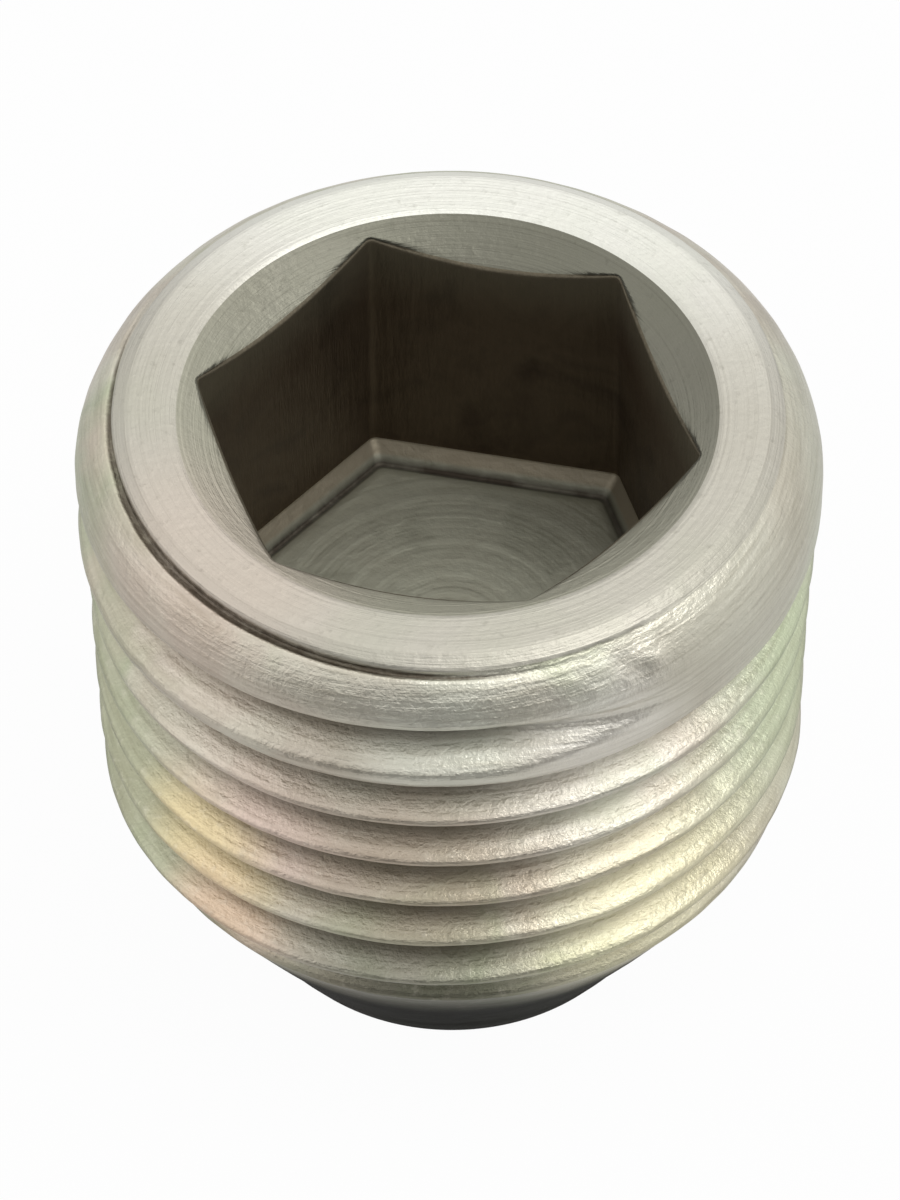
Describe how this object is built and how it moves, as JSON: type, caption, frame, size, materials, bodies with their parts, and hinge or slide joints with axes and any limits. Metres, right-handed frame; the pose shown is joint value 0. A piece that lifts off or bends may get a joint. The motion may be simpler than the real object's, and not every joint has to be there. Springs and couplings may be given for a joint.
{
  "type": "hex socket pipe plug",
  "caption": "Headless taper pipe plug: helical external thread running out under a bevelled top ring, blind hexagon key socket with a countersunk mouth, and a lead cone at the small end.",
  "frame": {"origin": "centre of the flat face at the small end", "axes": "+Z along the thread axis, from the small end towards the socket's mouth; two corners of the hexagon lie on the X axis"},
  "size_m": [0.0216, 0.0215, 0.0206],
  "materials": {
    "zinc_plated_steel": "satin zinc plate with a pale iridescent yellow-green passivation, turned top ring, darker punched socket"
  },
  "bodies": {
    "root": {"hex_socket_plug": "zinc_plated_steel"}
  },
  "joints": []
}
